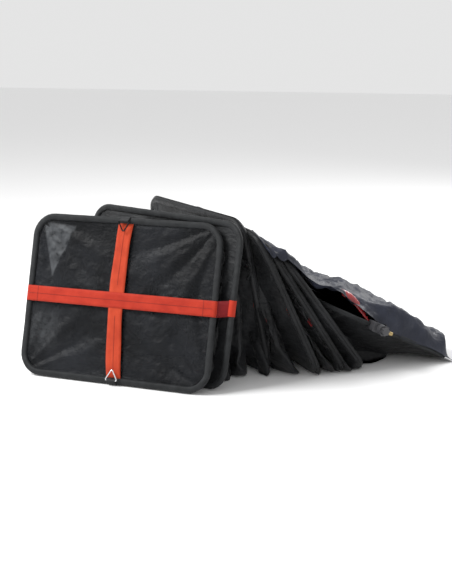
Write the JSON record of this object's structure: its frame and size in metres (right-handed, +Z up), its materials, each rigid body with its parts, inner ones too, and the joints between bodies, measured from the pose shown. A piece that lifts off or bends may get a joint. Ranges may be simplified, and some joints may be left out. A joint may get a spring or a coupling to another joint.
{
  "type": "rectangular keepnet",
  "caption": "Rectangular fishing keepnet lying in a loose heap, with a webbing cross and triangle rings on its closed base and a tilting stud fitting at its mouth.",
  "frame": {"origin": "below the middle of the heap, on the surface it lies on", "axes": "+Z up; the closed base faces -Y, leaning back; the net pulls out towards +Y; the mouth lies at +X, +Y"},
  "size_m": [0.995, 0.8482, 0.3929],
  "materials": {
    "hoop_wire": "satin",
    "binding": "matt",
    "net": "matt",
    "red_webbing": "matt",
    "black_tape": "matt",
    "nylon": "satin",
    "black_wire": "satin",
    "bright_wire": "polished",
    "stud_metal": "machined",
    "fitting_plastic": "matt"
  },
  "bodies": {
    "base": {"hoop_1": "hoop_wire", "binding_1": "binding", "base_panel": "net", "strap_across": "red_webbing", "strap_upper": "red_webbing", "strap_lower": "red_webbing", "ring_keeper_top": "black_tape", "ring_keeper_bottom": "black_tape"},
    "ring_top": {"triangle_ring_top": "black_wire"},
    "ring_bottom": {"triangle_ring_bottom": "bright_wire"},
    "hoop_2": {"hoop_2": "hoop_wire", "binding_2": "binding", "net_1": "net", "wrap_left_2": "red_webbing", "wrap_right_2": "red_webbing", "tape_left_1": "red_webbing", "tape_right_1": "red_webbing"},
    "hoop_3": {"hoop_3": "hoop_wire", "binding_3": "binding", "net_2": "net", "wrap_left_3": "red_webbing", "wrap_right_3": "red_webbing", "tape_left_2": "red_webbing", "tape_right_2": "red_webbing"},
    "hoop_4": {"hoop_4": "hoop_wire", "binding_4": "binding", "net_3": "net", "wrap_left_4": "red_webbing", "wrap_right_4": "red_webbing", "tape_left_3": "red_webbing", "tape_right_3": "red_webbing"},
    "hoop_5": {"hoop_5": "hoop_wire", "binding_5": "binding", "net_4": "net", "wrap_left_5": "red_webbing", "wrap_right_5": "red_webbing", "tape_left_4": "red_webbing", "tape_right_4": "red_webbing"},
    "hoop_6": {"hoop_6": "hoop_wire", "binding_6": "binding", "net_5": "net", "wrap_left_6": "red_webbing", "wrap_right_6": "red_webbing", "tape_left_5": "red_webbing", "tape_right_5": "red_webbing"},
    "mouth": {"hoop_7": "hoop_wire", "binding_7": "binding", "net_6": "net", "mouth_collar": "nylon", "lift_handle": "red_webbing", "clamp_block": "fitting_plastic", "clamp_screws": "bright_wire", "head_axle": "bright_wire"},
    "tilt_head": {"tilt_head": "fitting_plastic", "tilt_stud": "stud_metal"},
    "lock_knob": {"lock_knob": "fitting_plastic"}
  },
  "joints": [
    {"name": "pull_out_1", "type": "hinge", "parent": "base", "child": "hoop_2", "pos_m": [-0.72152, -0.05079, 0.50582], "axis": [0.4776, -0.0842, 0.8745], "range_deg": [0, 22.8], "deforming": ["net_1", "tape_left_1", "tape_right_1"]},
    {"name": "pull_out_2", "type": "hinge", "parent": "hoop_2", "child": "hoop_3", "pos_m": [-0.344, -0.05237, -0.04496], "axis": [-0.6587, 0.3803, 0.6492], "range_deg": [0, 30.39], "deforming": ["net_2", "tape_left_2", "tape_right_2"]},
    {"name": "pull_out_3", "type": "hinge", "parent": "hoop_3", "child": "hoop_4", "pos_m": [-0.00479, 0.65975, -0.46993], "axis": [-0.5616, 0.5616, 0.6076], "range_deg": [0, 16.39], "deforming": ["net_3", "tape_left_3", "tape_right_3"]},
    {"name": "pull_out_4", "type": "hinge", "parent": "hoop_4", "child": "hoop_5", "pos_m": [1.014, 0.80702, -1.66269], "axis": [-0.6428, 0.766, 0], "range_deg": [0, 8], "deforming": ["net_4", "tape_left_4", "tape_right_4"]},
    {"name": "pull_out_5", "type": "hinge", "parent": "hoop_5", "child": "hoop_6", "pos_m": [2.33316, 1.91275, -3.39262], "axis": [-0.6428, 0.766, 0], "range_deg": [0, 4], "deforming": ["net_5", "tape_left_5", "tape_right_5"]},
    {"name": "pull_out_6", "type": "hinge", "parent": "hoop_6", "child": "mouth", "pos_m": [0.68682, 0.52964, 0.04152], "axis": [-0.6428, 0.766, 0], "range_deg": [0, 27], "deforming": ["net_6"]},
    {"name": "ring_top_swing", "type": "hinge", "parent": "base", "child": "ring_top", "pos_m": [-0.24913, -0.30868, 0.38166], "axis": [-1, 0, 0], "range_deg": [0, 150]},
    {"name": "ring_bottom_swing", "type": "hinge", "parent": "base", "child": "ring_bottom", "pos_m": [-0.24113, -0.42095, 0.01444], "axis": [1, 0, 0], "range_deg": [0, 100]},
    {"name": "head_tilt", "type": "hinge", "parent": "mouth", "child": "tilt_head", "pos_m": [0.34811, -0.11538, 0.11352], "axis": [0.6428, -0.766, 0], "range_deg": [-90, 90]},
    {"name": "knob_turn", "type": "hinge", "parent": "tilt_head", "child": "lock_knob", "pos_m": [0.35704, -0.12603, 0.11352], "axis": [0.6428, -0.766, 0], "range_deg": [0, 270]}
  ],
  "couplings": [
    {"joint": "pull_out_2", "follows": "pull_out_1", "ratio": 1.333},
    {"joint": "pull_out_3", "follows": "pull_out_1", "ratio": 0.71883},
    {"joint": "pull_out_4", "follows": "pull_out_1", "ratio": 0.3509},
    {"joint": "pull_out_5", "follows": "pull_out_1", "ratio": 0.17545},
    {"joint": "pull_out_6", "follows": "pull_out_1", "ratio": 1.1843}
  ]
}
